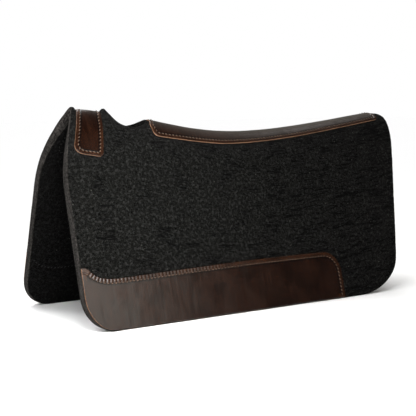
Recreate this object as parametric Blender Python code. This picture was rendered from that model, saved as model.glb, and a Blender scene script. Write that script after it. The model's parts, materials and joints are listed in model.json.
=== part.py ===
"""Contoured western saddle pad.

Two halves of thick wool felt are sewn together along the spine. A leather strap
covers the seam over the withers, a long leather strip covers it over the back, and a
leather wear patch is sewn low on each side. An oval hole behind the strap leaves room
for the withers. Each half bends at a flex line, where its flap hinges on its crown.

Metres, +X towards the rump, +Y to the right of the horse, +Z up. The origin is on
the ground under the middle of the pad.
"""
from math import pi, radians, sin, sqrt, tan

import bmesh
import bpy
import numpy as np
from mathutils import Matrix, Vector
from mathutils.geometry import interpolate_bezier

# Felt
LENGTH = 0.785                # foremost to rearmost point
THICKNESS = 0.018
FRONT = -LENGTH / 2           # the straight part of the front edge
REAR = LENGTH / 2
SEAM_GAP = 0.0003             # between the two halves, and wherever pieces rest on each other

# Spine, seen from the side: two Bezier curves that meet at the lowest point of the back
WITHERS_TO_DIP = ((FRONT, 0.3815), (-0.2465, 0.389), (-0.1565, 0.331), (0.0185, 0.331))
DIP_TO_RUMP = ((0.0185, 0.331), (0.1435, 0.331), (0.2835, 0.355), (REAR + 0.001, 0.367))

# Cross-section: a curve from the spine to the flex line, then straight down to the ground
FLEX_HEIGHT = 0.278
FLEX_HALF_WIDTH = 0.063       # half the width between the flex lines, at the middle
FLEX_WIDENING = 0.0053        # how much wider each side gets for each metre to the rear
FLARE = 0.085                 # how far the bottom edge stands out past the flex line
CREST_FULLNESS = (0.010, 0.044)   # length of the level stretch at the spine, front and rear
FLEX_FULLNESS = 0.042         # length of the straight stretch above the flex line
FLEX_FULLNESS_LIMIT = 0.62    # the most of the spine's height over the flex line it may take

# End edges: arc length down from the spine, and how far back the edge is
FRONT_EDGE = ((0.0, FRONT + 0.041), (0.045, FRONT + 0.024), (0.095, FRONT), (0.165, FRONT))
REAR_EDGE = ((0.0, 0.3785), (0.015, 0.3965), (0.060, 0.3955), (0.130, 0.3825))
REAR_EDGE_SLOPE = -0.205      # forward slant of the rear edge below the curve
FRONT_CORNER = (0.052, 0.060)     # rounding at the bottom, along and up
REAR_CORNER = (0.105, 0.072)

# Flaps
CLOSE_ANGLE = 15.0            # how far a flap bends inward from rest, degrees
RELIEF_ANGLE = CLOSE_ANGLE + 2.0  # bevel on the inner side of the bend that leaves room for it
PRESSED_BELOW = 0.125         # height under which the felt is pressed in, for the wear leather
UNPRESSED_ABOVE = 0.140
PRESS = 0.0004                # how far it is pressed in

# Hole that clears the withers
HOLE_CENTRE_X = -0.2405
HOLE_LENGTH = 0.088
HOLE_WIDTH = 0.050

# Leather and thread
LEATHER = 0.0026
STITCH_INSET = 0.0062         # stitch line, in from the leather's edge
PATCH_STITCH_INSET = 0.0080   # and on the wear patch
STITCH_END = 0.003            # distance from the edge where an open stitch line stops
THREAD_RADIUS = 0.0008
BOBBIN_RADIUS = 0.0006
SEAM_PITCH = 0.013            # zigzag that joins the halves, on the underside
SEAM_REACH = 0.005            # from the crease to each of its turns
SEAM_CLEARANCE = 0.014        # what the seam keeps to the hole behind it
CREASE_REACH = 0.009          # stretch beside the crease that the other threads bridge

# Withers strap: front and rear edge at the spine, and how much each leans forward
STRAP_FRONT, STRAP_FRONT_LEAN = -0.3390, -0.32
STRAP_REAR, STRAP_REAR_LEAN = -0.2920, -0.23
STRAP_DROP = 0.103            # arc length of its rear edge, from the spine
STRAP_SLANT = 0.14            # its ends slant: how much shorter it gets for each metre forward
STRAP_FRONT_CORNER = (0.020, 0.019)     # along and up
STRAP_REAR_CORNER = (0.008, 0.008)
STRAP_CORNER_STEPS = 7
STRAP_PITCH = 0.011           # spacing of its rows of faces
CREST_LENGTHS = (0.0, 0.0015, 0.0036, 0.0067, 0.012, 0.019)    # rows over the tight bend at the top

# Spine strip
STRIP_FRONT, STRIP_REAR = -0.1965, 0.369
STRIP_FRONT_DIP = 0.008       # how much further back its front end is at the spine
STRIP_DIP_WIDTH = 0.45        # part of the half width over which it comes forward
STRIP_HALF_WIDTHS = ((STRIP_FRONT, 0.0475), (-0.05, 0.0510), (0.10, 0.0450), (STRIP_REAR, 0.0350))
STRIP_CORNER = 0.009
STRIP_CREST_ROWS = (0.0, 0.03, 0.08, 0.16, 0.30, 0.45, 0.62)   # parts of the half width
STRIP_COLUMNS = 26

# Wear patch, flat on the flap: distance along, and height up the slope from the ground
PATCH_FRONT = FRONT + 0.0015
PATCH_REAR = 0.1815
PATCH_BOTTOM = 0.002
PATCH_TOP = 0.0965
PATCH_TOP_X = 0.0             # where the top edge becomes level
PATCH_DIP = 0.0905            # height of the dip in the top edge, just behind the horn
PATCH_DIP_X = -0.325
DIP_HANDLES = (0.047, 0.020)  # handle lengths of the top edge, before and behind the dip
TOP_HANDLES = (0.100, 0.036)  # and where it becomes level
HORN_HEIGHT = 0.1155          # the front end of the top edge turns up into a small horn
HORN_WIDTH = 0.010
HORN_ROUND = 0.003
HORN_LEAVE = 0.7              # handle length behind the horn, as a part of its width
PATCH_REAR_CORNER = (0.042, 0.044)
PATCH_REAR_LEAN = 0.002       # how much further forward the rear end is at the bottom

FELT_COLOUR = (0.020, 0.020, 0.019, 1.0)
LEATHER_COLOUR = (0.055, 0.022, 0.012, 1.0)
THREAD_COLOUR = (0.36, 0.25, 0.17, 1.0)
BOBBIN_COLOUR = (0.015, 0.014, 0.013, 1.0)

LEFT, RIGHT = -1, 1
SIDES = (("left", LEFT), ("right", RIGHT))
DOWN_SLOPE = Vector((FLARE, -FLEX_HEIGHT)).normalized()    # outward and down, in a section
CROWN_ROWS = (0.0, 0.012, 0.03, 0.055, 0.10, 0.16, 0.24, 0.34, 0.46, 0.60, 0.80, 1.0)
CROWN_COLUMNS = 30
FLAP_MIDDLE = 0.21            # height of the row of faces between the flex line and the wear leather
FLAP_COLUMNS = 8
CORNER_STEPS = 7              # rows of faces round a flap's bottom corners
SAMPLES = 96                  # points taken along a section's curve
QUARTER_HANDLE = 0.552        # handle length, in radii, that makes a quarter of an ellipse
STRAIGHT_HANDLE = 0.01        # handle length on a straight stretch


# ---------------------------------------------------------------- the draped surface

def bezier(points, count):
    """Points along one cubic Bezier curve in a plane, as an array of pairs."""
    knots = [Vector((a, b, 0.0)) for a, b in points]
    return np.array([p[:2] for p in interpolate_bezier(*knots, count)])


SPINE = np.vstack([bezier(WITHERS_TO_DIP, 60), bezier(DIP_TO_RUMP, 60)[1:]])
FRONT_CURVE = bezier(FRONT_EDGE, 40)
REAR_CURVE = bezier(REAR_EDGE, 40)


def spine_height(x):
    return float(np.interp(x, SPINE[:, 0], SPINE[:, 1]))


def front_edge(s):
    """Station of the front edge at arc length s below the spine."""
    return float(np.interp(s, FRONT_CURVE[:, 0], FRONT_CURVE[:, 1]))


def rear_edge(s):
    """Station of the rear edge at arc length s: a curve, then a straight slant."""
    last_s, last_x = REAR_CURVE[-1]
    if s > last_s:
        return float(last_x + REAR_EDGE_SLOPE * (s - last_s))
    return float(np.interp(s, REAR_CURVE[:, 0], REAR_CURVE[:, 1]))


def flex_y(x):
    """Half the width between the flex lines at station x."""
    return FLEX_HALF_WIDTH + FLEX_WIDENING * x


SECTIONS = {}


def section(x):
    """Curve from spine to flex line at station x: its Bezier points and its lengths."""
    key = round(x, 6)
    if key not in SECTIONS:
        crest = spine_height(x)
        along = (x - FRONT) / LENGTH
        level = CREST_FULLNESS[0] + (CREST_FULLNESS[1] - CREST_FULLNESS[0]) * along
        straight = min(FLEX_FULLNESS, FLEX_FULLNESS_LIMIT * (crest - FLEX_HEIGHT))
        flex = Vector((flex_y(x), FLEX_HEIGHT))
        knots = (Vector((0, crest)), Vector((level, crest)), flex - DOWN_SLOPE * straight, flex)
        line = bezier(knots, SAMPLES)
        steps = np.linalg.norm(np.diff(line, axis=0), axis=1)
        SECTIONS[key] = (knots, np.concatenate([[0.0], np.cumsum(steps)]))
    return SECTIONS[key]


def flex_length(x):
    """Arc length from the spine to the flex line."""
    return float(section(x)[1][-1])


def surface(x, s, out=0.0):
    """Sideways distance and height of a point at arc length s, out from the felt's face."""
    knots, lengths = section(x)
    if s >= lengths[-1]:
        point = knots[3] + DOWN_SLOPE * (s - lengths[-1])
        tangent = DOWN_SLOPE
    else:
        t = float(np.interp(max(s, 0.0), lengths, np.linspace(0.0, 1.0, SAMPLES)))
        a, b, c, d = knots
        point = (a * (1 - t) ** 3 + b * 3 * t * (1 - t) ** 2
                 + c * 3 * t * t * (1 - t) + d * t ** 3)
        tangent = ((b - a) * (1 - t) ** 2 + (c - b) * 2 * t * (1 - t) + (d - c) * t * t).normalized()
    return point + Vector((-tangent.y, tangent.x)) * out


def place(side, x, s, out=0.0):
    """Point on one side of the pad. A negative s is on the other side of the spine."""
    if s < 0:
        side, s = -side, -s
    y, z = surface(x, s, out)
    return Vector((x, side * y, z))


def mitre_length(x, depth):
    """Arc length at which the face that lies depth inside comes clear of the spine's plane."""
    low, high = 0.0, flex_length(x)
    for _ in range(30):
        middle = (low + high) / 2
        if surface(x, middle, -depth)[0] < 0.0:
            low = middle
        else:
            high = middle
    return high


# ---------------------------------------------------------------- building tools

def make_collection(name):
    collection = bpy.data.collections.new(name)
    bpy.context.scene.collection.children.link(collection)
    return collection


def make_material(name, colour, roughness):
    material = bpy.data.materials.new(name)
    material.use_nodes = True
    shader = material.node_tree.nodes["Principled BSDF"]
    shader.inputs["Base Color"].default_value = colour
    shader.inputs["Roughness"].default_value = roughness
    shader.inputs["Metallic"].default_value = 0.0
    return material


def add_object(name, data, collection, colour, roughness):
    piece = bpy.data.objects.new(name, data)
    data.materials.append(make_material(name, colour, roughness))
    collection.objects.link(piece)
    return piece


def loft(name, face, back, collection, colour, roughness):
    """One closed body between two grids of points with the same rows and columns."""
    rows, columns = len(face), len(face[0])
    mesh_points = [p for grid in (face, back) for row in grid for p in row]
    corner = rows * columns

    def index(row, column, grid):
        return grid * corner + row * columns + column

    quads = []
    for i in range(rows - 1):
        for j in range(columns - 1):
            ring = [(i, j), (i, j + 1), (i + 1, j + 1), (i + 1, j)]
            quads.append([index(a, b, 0) for a, b in ring])
            quads.append([index(a, b, 1) for a, b in reversed(ring)])
    border = ([(0, j) for j in range(columns)]
              + [(i, columns - 1) for i in range(1, rows)]
              + [(rows - 1, j) for j in range(columns - 2, -1, -1)]
              + [(i, 0) for i in range(rows - 2, 0, -1)])
    for a, b in zip(border, border[1:] + border[:1]):
        quads.append([index(*b, 0), index(*a, 0), index(*a, 1), index(*b, 1)])
    mesh = bpy.data.meshes.new(name)
    mesh.from_pydata(mesh_points, [], quads)
    body = bmesh.new()
    body.from_mesh(mesh)
    bmesh.ops.recalc_face_normals(body, faces=body.faces)
    body.to_mesh(mesh)
    body.free()
    mesh.shade_smooth()
    mesh.set_sharp_from_angle(angle=radians(40))
    return add_object(name, mesh, collection, colour, roughness)


def thread(name, points, closed, radius, collection, colour):
    """A sewn thread: a thin tube along its stitch line."""
    curve = bpy.data.curves.new(name, "CURVE")
    curve.dimensions = "3D"
    curve.bevel_depth = radius
    curve.bevel_resolution = 1
    curve.use_fill_caps = not closed
    spline = curve.splines.new("POLY")
    spline.points.add(len(points) - 1)
    for knot, point in zip(spline.points, points):
        knot.co = (*point, 1.0)
    spline.use_cyclic_u = closed
    return add_object(name, curve, collection, colour, 0.7)


def corner_run(across, reach, size):
    """How far a rounded corner draws the end of a row in; across is measured from the corner."""
    if across >= reach:
        return 0.0
    return size * (1 - sqrt(max(0.0, 1 - ((reach - across) / reach) ** 2)))


# ---------------------------------------------------------------- felt

def felt_crown(name, side, hole, collection):
    """Upper part of one half, from its mitred edge at the spine down to the flex line."""
    face, back = [], []
    for fraction in CROWN_ROWS:
        face_row, back_row = [], []
        for j in range(CROWN_COLUMNS):
            along = j / (CROWN_COLUMNS - 1)
            s = fraction * flex_length(0.0)
            for _ in range(4):
                x = front_edge(s) + (rear_edge(s) - front_edge(s)) * along
                s = fraction * flex_length(x)
            mitre = mitre_length(x, THICKNESS)
            inner_s = mitre + (flex_length(x) - mitre) * fraction
            half_gap = Vector((0, side * SEAM_GAP / 2, 0))
            face_row.append(place(side, x, s) + half_gap)
            back_row.append(place(side, x, inner_s, -THICKNESS) + half_gap)
        face.append(face_row)
        back.append(back_row)
    crown = loft(name, face, back, collection, FELT_COLOUR, 0.95)
    cut = crown.modifiers.new("withers_hole", "BOOLEAN")
    cut.object = hole
    cut.operation = "DIFFERENCE"
    cut.solver = "EXACT"
    return crown


def flap_heights():
    """Heights of a flap's rows below the flex line: close together round the corners."""
    slope = -DOWN_SLOPE.y
    corner = FRONT_CORNER[1] * slope
    plain = [FLEX_HEIGHT - SEAM_GAP, FLAP_MIDDLE, UNPRESSED_ABOVE, PRESSED_BELOW]
    turns = [corner * (1 - sin(pi / 2 * k / CORNER_STEPS)) for k in range(CORNER_STEPS + 1)]
    return plain + [REAR_CORNER[1] * slope] + turns


def level_shift(depth):
    """Arc length that keeps a point on the flap at its height when it moves depth inside."""
    return depth * DOWN_SLOPE.x / DOWN_SLOPE.y


def felt_flap(name, side, collection):
    """Lower part of one half: flat, bevelled at the bend, and level where it meets the ground."""
    face, back = [], []
    heights = flap_heights()
    slope = -DOWN_SLOPE.y
    top_drop = THICKNESS * tan(radians(RELIEF_ANGLE))
    half_gap = Vector((0, side * SEAM_GAP / 2, 0))
    for height in heights:
        up = height / slope
        fraction = height / heights[0]
        press = PRESS if height <= PRESSED_BELOW else 0.0
        shift = top_drop * fraction + level_shift(THICKNESS) * (1 - fraction)
        face_row, back_row = [], []
        for j in range(FLAP_COLUMNS):
            s = flex_length(0.0) + (FLEX_HEIGHT - height) / slope
            for _ in range(4):
                start = front_edge(s) + corner_run(up, FRONT_CORNER[1], FRONT_CORNER[0])
                end = rear_edge(s) - corner_run(up, REAR_CORNER[1], REAR_CORNER[0])
                x = start + (end - start) * j / (FLAP_COLUMNS - 1)
                s = flex_length(x) + (FLEX_HEIGHT - height) / slope
            face_row.append(place(side, x, s + level_shift(press), -press) + half_gap)
            back_row.append(place(side, x, s + shift, -THICKNESS) + half_gap)
        face.append(face_row)
        back.append(back_row)
    return loft(name, face, back, collection, FELT_COLOUR, 0.95)


def hole_cutter(collection):
    """Oval prism that cuts the hole for the withers through both halves."""
    bpy.ops.mesh.primitive_cylinder_add(vertices=36, radius=0.5, depth=0.2,
                                        location=(HOLE_CENTRE_X, 0, FLEX_HEIGHT + 0.07))
    cutter = bpy.context.active_object
    cutter.name = "withers_hole_cutter"
    cutter.data.transform(Matrix.Diagonal((HOLE_LENGTH, HOLE_WIDTH, 1, 1)))
    for owner in list(cutter.users_collection):
        owner.objects.unlink(cutter)
    collection.objects.link(cutter)
    cutter.hide_render = True
    cutter.display_type = "WIRE"
    return cutter


# ---------------------------------------------------------------- leather over the spine

def leather_over_spine(name, stations, rows, collection):
    """A leather laid over the spine. stations(v) gives the ends and half width of row v."""
    face, back = [], []
    for v in rows:
        face_row, back_row = [], []
        for x, s in stations(v):
            face_row.append(place(LEFT, x, s, SEAM_GAP + LEATHER))
            back_row.append(place(LEFT, x, s, SEAM_GAP))
        face.append(face_row)
        back.append(back_row)
    return loft(name, face, back, collection, LEATHER_COLOUR, 0.45)


def strap_ends(s, inset=0.0):
    """Front and rear station of the withers strap at arc length s, corners rounded."""
    across = STRAP_DROP - inset - abs(s)
    front_run, rear_run = [corner_run(across, up - inset, along - inset)
                           for along, up in (STRAP_FRONT_CORNER, STRAP_REAR_CORNER)]
    front = STRAP_FRONT + STRAP_FRONT_LEAN * abs(s) + inset + front_run
    rear = STRAP_REAR + STRAP_REAR_LEAN * abs(s) - inset - rear_run
    return front, rear


def slanted(x, s):
    """A point of the strap, drawn up to give its ends their slant."""
    foot = STRAP_REAR + STRAP_REAR_LEAN * STRAP_DROP
    return x, s * (1 + STRAP_SLANT * (x - foot) / STRAP_DROP)


def strap_lengths(drop, reach):
    """Arc lengths down one side of the strap."""
    crest = list(CREST_LENGTHS)
    side = list(np.arange(crest[-1] + STRAP_PITCH, drop - reach - STRAP_PITCH / 3, STRAP_PITCH))
    corner = [drop - reach * (1 - sin(pi / 2 * k / STRAP_CORNER_STEPS))
              for k in range(STRAP_CORNER_STEPS + 1)]
    return crest + side + corner


def both_sides(lengths):
    """The same arc lengths from the left end, over the spine, to the right end."""
    return list(reversed(lengths)) + [-s for s in lengths[1:]]


def strap_row(s):
    front, rear = strap_ends(s)
    return [slanted(front + (rear - front) * k / 3, s) for k in range(4)]


def strip_half_width(x):
    widths = np.array(STRIP_HALF_WIDTHS)
    return float(np.interp(x, widths[:, 0], widths[:, 1]))


def strip_outline(v, inset=0.0):
    """Front and rear station of the spine strip on the row at v of its half width."""
    width = strip_half_width(0.0) - inset
    reach = STRIP_CORNER - inset * 0.6
    run = corner_run(width * (1 - abs(v)), reach, reach)
    dip = STRIP_FRONT_DIP * max(0.0, 1.0 - abs(v) / STRIP_DIP_WIDTH)
    return STRIP_FRONT + dip + inset + run, STRIP_REAR - inset - run


def strip_row(v, columns=STRIP_COLUMNS, inset=0.0):
    front, rear = strip_outline(v, inset)
    stations = [front + (rear - front) * k / (columns - 1) for k in range(columns)]
    return [(x, v * (strip_half_width(x) - inset)) for x in stations]


def strip_rows():
    """Rows of the spine strip, as parts of its half width."""
    corner = STRIP_CORNER / strip_half_width(0.0)
    ends = [1 - corner * (1 - sin(pi / 2 * k / 3)) for k in range(4)]
    return both_sides(list(STRIP_CREST_ROWS) + ends)


# ---------------------------------------------------------------- wear patch

def patch_knots():
    """Outline of the patch as Bezier knots: point, handle before it, handle after it."""
    front, rear, bottom, top = PATCH_FRONT, PATCH_REAR, PATCH_BOTTOM, PATCH_TOP
    horn = front + HORN_WIDTH
    horn_side = HORN_HEIGHT - HORN_ROUND
    low_front = front + FRONT_CORNER[0]
    low_side = bottom + FRONT_CORNER[1]
    rear_top = rear - PATCH_REAR_CORNER[0]
    rear_side = top - PATCH_REAR_CORNER[1]
    rear_foot = rear - PATCH_REAR_LEAN
    return [
        ((front, low_side), (front, low_side - QUARTER_HANDLE * FRONT_CORNER[1]),
         (front, low_side + STRAIGHT_HANDLE)),
        ((front, horn_side), (front, horn_side - STRAIGHT_HANDLE), (front, HORN_HEIGHT)),
        ((horn, horn_side), (horn - HORN_WIDTH / 4, HORN_HEIGHT),
         (horn + HORN_WIDTH * HORN_LEAVE, horn_side - HORN_ROUND)),
        ((PATCH_DIP_X, PATCH_DIP), (PATCH_DIP_X - DIP_HANDLES[0], PATCH_DIP),
         (PATCH_DIP_X + DIP_HANDLES[1], PATCH_DIP)),
        ((PATCH_TOP_X, top), (PATCH_TOP_X - TOP_HANDLES[0], top),
         (PATCH_TOP_X + TOP_HANDLES[1], top)),
        ((rear_top, top), (rear_top - TOP_HANDLES[1], top),
         (rear_top + QUARTER_HANDLE * PATCH_REAR_CORNER[0], top)),
        ((rear, rear_side), (rear, rear_side + QUARTER_HANDLE * PATCH_REAR_CORNER[1]),
         (rear, rear_side - STRAIGHT_HANDLE)),
        ((rear_foot, bottom), (rear_foot, bottom + STRAIGHT_HANDLE),
         (rear_foot - STRAIGHT_HANDLE, bottom)),
        ((low_front, bottom), (low_front + STRAIGHT_HANDLE, bottom),
         (low_front - QUARTER_HANDLE * FRONT_CORNER[0], bottom)),
    ]


def patch_frame(side):
    """Frame on a flap's face: X along the flex line and Y up the slope, its foot, and outward."""
    along = Vector((1, side * FLEX_WIDENING, 0)).normalized()
    up = Vector((0, -side * DOWN_SLOPE.x, -DOWN_SLOPE.y))
    normal = along.cross(up).normalized()
    up = normal.cross(along)
    foot = Vector((0, side * (flex_y(0.0) + FLARE + SEAM_GAP / 2), 0))
    return Matrix((along, up, normal)).transposed().to_4x4(), foot, normal * -side


def wear_patch(name, side, collection):
    curve = bpy.data.curves.new(name, "CURVE")
    curve.dimensions = "2D"
    curve.fill_mode = "BOTH"
    curve.extrude = LEATHER / 2
    curve.resolution_u = 6
    spline = curve.splines.new("BEZIER")
    knots = patch_knots()
    spline.bezier_points.add(len(knots) - 1)
    for bezier_point, (point, before, after) in zip(spline.bezier_points, knots):
        bezier_point.handle_left_type = bezier_point.handle_right_type = "FREE"
        bezier_point.co = (*point, 0.0)
        bezier_point.handle_left = (*before, 0.0)
        bezier_point.handle_right = (*after, 0.0)
    spline.use_cyclic_u = True
    patch = add_object(name, curve, collection, LEATHER_COLOUR, 0.4)
    turn, foot, outward = patch_frame(side)
    middle = SEAM_GAP + LEATHER / 2 - PRESS
    patch.matrix_world = Matrix.Translation(foot + outward * middle) @ turn
    return patch


def patch_stitch_line():
    """Stitch line of the patch, from the horn along the top and down the rear end."""
    knots = patch_knots()[2:8]
    line = []
    for (start, _, leave), (end, arrive, _) in zip(knots, knots[1:]):
        count = max(4, int(abs(end[0] - start[0]) / 0.016), int(abs(end[1] - start[1]) / 0.008))
        line += list(bezier((start, leave, arrive, end), count))[:-1]
    line.append(np.array(knots[-1][0]))
    line = np.array(line)
    tangents = np.gradient(line, axis=0)
    tangents /= np.linalg.norm(tangents, axis=1)[:, None]
    inward = np.stack([tangents[:, 1], -tangents[:, 0]], axis=1)
    line = line + inward * PATCH_STITCH_INSET
    return [p for p in line if p[1] > PATCH_BOTTOM + STITCH_END and p[0] > PATCH_FRONT + STITCH_END]


def patch_thread_points(side, out):
    turn, foot, outward = patch_frame(side)
    frame = Matrix.Translation(foot + outward * out) @ turn
    return [frame @ Vector((a, b, 0.0)) for a, b in patch_stitch_line()]


# ---------------------------------------------------------------- stitch lines over the spine

def strap_stitches():
    """Closed stitch line round the withers strap, as stations and signed arc lengths."""
    reach = STRAP_FRONT_CORNER[1] - STITCH_INSET
    lengths = both_sides(strap_lengths(STRAP_DROP - STITCH_INSET, reach))
    front = [slanted(strap_ends(s, STITCH_INSET)[0], s) for s in lengths]
    rear = [slanted(strap_ends(s, STITCH_INSET)[1], s) for s in reversed(lengths)]
    return front + rear


def strip_stitches():
    """Closed stitch line round the spine strip."""
    rows = strip_rows()
    front = [(strip_row(v, 2, STITCH_INSET)[0]) for v in rows]
    right = strip_row(-1.0, 30, STITCH_INSET)[1:-1]
    rear = [(strip_row(v, 2, STITCH_INSET)[-1]) for v in reversed(rows)]
    left = strip_row(1.0, 30, STITCH_INSET)[1:-1]
    return front + right + rear + list(reversed(left))


def sewn_over(points, out):
    """Stitch line on the outside."""
    return [place(LEFT, x, s, out) for x, s in points]


def sewn_under(points, depth):
    """The same stitch line on the inside: the thread runs straight across the crease."""
    line = []
    for x, s in points:
        if abs(s) > mitre_length(x, depth) + CREASE_REACH:
            line.append(place(LEFT, x, s, -depth))
    return line


def seam_points(start, end):
    """Zigzag seam on the underside that draws the two halves together."""
    depth = THICKNESS + SEAM_GAP + BOBBIN_RADIUS
    count = int((end - start) / SEAM_PITCH) * 2 + 1
    points = []
    for k in range(count):
        x = start + (end - start) * k / (count - 1)
        s = mitre_length(x, depth) + SEAM_REACH
        points.append(place(LEFT if k % 2 else RIGHT, x, s, -depth))
    return points


# ---------------------------------------------------------------- assembly

def flex_frame(side):
    """Middle of a flap's flex line, on the felt's outer face."""
    return Vector((0, side * (flex_y(0.0) + SEAM_GAP / 2), FLEX_HEIGHT))


def hang(pieces, name, side, collection):
    """Parent a flap's pieces to an empty on the flex line that they turn about."""
    pivot = bpy.data.objects.new(name, None)
    pivot.location = flex_frame(side)
    collection.objects.link(pivot)
    bpy.context.view_layer.update()
    for piece in pieces:
        piece.parent = pivot
        piece.matrix_parent_inverse = pivot.matrix_world.inverted()


def build():
    for old in list(bpy.data.objects):
        bpy.data.objects.remove(old, do_unlink=True)
    pad = make_collection("saddle_pad")
    cutters = make_collection("cutters")
    hole = hole_cutter(cutters)
    above = SEAM_GAP + LEATHER + SEAM_GAP + THREAD_RADIUS
    below = THICKNESS + SEAM_GAP + BOBBIN_RADIUS

    strap_rows = both_sides(strap_lengths(STRAP_DROP, STRAP_FRONT_CORNER[1]))
    leather_over_spine("withers_strap", strap_row, strap_rows, pad)
    leather_over_spine("spine_strip", strip_row, strip_rows(), pad)
    for name, line in (("withers_strap", strap_stitches()), ("spine_strip", strip_stitches())):
        thread(name + "_thread", sewn_over(line, above), True, THREAD_RADIUS, pad, THREAD_COLOUR)
        thread(name + "_bobbin_thread", sewn_under(line, below), True, BOBBIN_RADIUS, pad,
               BOBBIN_COLOUR)
    hole_rear = HOLE_CENTRE_X + HOLE_LENGTH / 2
    seams = (("front", STRAP_FRONT - STITCH_END, STRAP_REAR + STITCH_END),
             ("rear", hole_rear + SEAM_CLEARANCE, STRIP_REAR - STITCH_INSET - STITCH_END))
    for word, start, end in seams:
        thread(word + "_seam_thread", seam_points(start, end), False, BOBBIN_RADIUS, pad,
               BOBBIN_COLOUR)

    for word, side in SIDES:
        felt_crown(word + "_felt_crown", side, hole, pad)
        flap = [felt_flap(word + "_felt_flap", side, pad),
                wear_patch(word + "_wear_leather", side, pad)]
        top_thread = patch_thread_points(side, above - PRESS)
        flap.append(thread(word + "_wear_leather_thread", top_thread, False, THREAD_RADIUS, pad,
                           THREAD_COLOUR))
        flap.append(thread(word + "_wear_leather_bobbin_thread", patch_thread_points(side, -below),
                           False, BOBBIN_RADIUS, pad, BOBBIN_COLOUR))
        hang(flap, word + "_flex_line", side, pad)


build()
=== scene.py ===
"""Looks of a contoured western saddle pad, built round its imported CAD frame.

Everything lies on one draped surface. A place on it is a station x along the horse, an
arc length s down from the spine, and a height out from the felt's outer face. Metres,
+X towards the rump, left side towards -Y, +Z up.
"""

import json
from math import pi, radians, sqrt

import bmesh
import bpy
import numpy as np
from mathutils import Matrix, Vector, noise
from mathutils.kdtree import KDTree


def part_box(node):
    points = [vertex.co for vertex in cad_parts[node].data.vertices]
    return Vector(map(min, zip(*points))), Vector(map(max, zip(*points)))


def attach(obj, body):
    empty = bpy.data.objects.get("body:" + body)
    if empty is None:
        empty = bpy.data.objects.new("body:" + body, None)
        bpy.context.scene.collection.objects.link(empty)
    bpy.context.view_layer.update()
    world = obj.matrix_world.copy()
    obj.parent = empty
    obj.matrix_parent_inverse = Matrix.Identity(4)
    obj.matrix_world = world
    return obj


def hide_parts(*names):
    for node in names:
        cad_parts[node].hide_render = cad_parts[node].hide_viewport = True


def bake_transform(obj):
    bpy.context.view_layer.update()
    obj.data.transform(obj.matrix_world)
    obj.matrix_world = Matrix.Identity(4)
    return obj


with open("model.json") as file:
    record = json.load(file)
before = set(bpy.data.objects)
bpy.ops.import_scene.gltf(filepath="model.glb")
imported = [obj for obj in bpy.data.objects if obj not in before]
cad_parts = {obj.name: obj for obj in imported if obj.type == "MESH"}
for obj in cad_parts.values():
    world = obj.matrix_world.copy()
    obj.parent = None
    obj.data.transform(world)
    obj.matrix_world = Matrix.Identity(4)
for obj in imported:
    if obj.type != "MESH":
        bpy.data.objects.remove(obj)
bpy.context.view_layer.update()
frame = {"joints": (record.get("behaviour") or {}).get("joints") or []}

# ---- sizes

# From the frame
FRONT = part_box("left_felt_flap")[0].x
REAR = -FRONT
SPINE_FRONT = FRONT + 0.041
JOINTS = {joint["child"]: joint for joint in frame["joints"]}
FLEX_HEIGHT = JOINTS["left_flap"]["pos_m"][2]

# Felt, as in the CAD
THICKNESS = 0.018
SEAM_GAP = 0.0003
WITHERS_TO_DIP = ((FRONT, 0.3815), (-0.2465, 0.389), (-0.1565, 0.331), (0.0185, 0.331))
DIP_TO_RUMP = ((0.0185, 0.331), (0.1435, 0.331), (0.2835, 0.355), (REAR + 0.001, 0.367))
FLEX_HALF_WIDTH = 0.063
FLEX_WIDENING = 0.0053
FLARE = 0.085
CREST_FULLNESS = (0.010, 0.044)
FLEX_FULLNESS = 0.042
FLEX_FULLNESS_LIMIT = 0.62
FRONT_EDGE = ((0.0, SPINE_FRONT), (0.045, FRONT + 0.024), (0.095, FRONT), (0.165, FRONT))
REAR_EDGE = ((0.0, 0.3785), (0.015, 0.3965), (0.060, 0.3955), (0.130, 0.3825))
REAR_EDGE_SLOPE = -0.205
FRONT_CORNER = (0.052, 0.060)
REAR_CORNER = (0.105, 0.072)
HOLE_CENTRE_X = -0.2405
HOLE_LENGTH = 0.088
HOLE_WIDTH = 0.050
HOLE_FRONT, HOLE_REAR = HOLE_CENTRE_X - HOLE_LENGTH / 2, HOLE_CENTRE_X + HOLE_LENGTH / 2

# Leather, as in the CAD
STITCH_INSET = 0.0062
PATCH_STITCH_INSET = 0.0080
PATCH_STITCH_CLEAR = (0.0035, 0.003)        # of the front edge, and of the bottom
STRAP_FRONT, STRAP_FRONT_LEAN = -0.3390, -0.32
STRAP_REAR, STRAP_REAR_LEAN = -0.2920, -0.23
STRAP_DROP = 0.103
STRAP_SLANT = 0.14
STRAP_FRONT_CORNER = (0.020, 0.019)
STRAP_REAR_CORNER = (0.008, 0.008)
STRIP_FRONT, STRIP_REAR = -0.1965, 0.369
STRIP_FRONT_DIP = 0.008
STRIP_DIP_WIDTH = 0.45
STRIP_HALF_WIDTHS = ((STRIP_FRONT, 0.0475), (-0.05, 0.0510), (0.10, 0.0450), (STRIP_REAR, 0.0350))
STRIP_CORNER = 0.009
PATCH_FRONT = FRONT + 0.0015
PATCH_REAR = 0.1815
PATCH_BOTTOM = 0.002
PATCH_TOP = 0.0965
PATCH_TOP_X = 0.0
PATCH_DIP = 0.0905
PATCH_DIP_X = -0.325
DIP_HANDLES = (0.047, 0.020)
TOP_HANDLES = (0.100, 0.036)
HORN_HEIGHT = 0.1155
HORN_WIDTH = 0.010
HORN_ROUND = 0.003
HORN_LEAVE = 0.7
PATCH_REAR_CORNER = (0.042, 0.044)
PATCH_REAR_LEAN = 0.002

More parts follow.
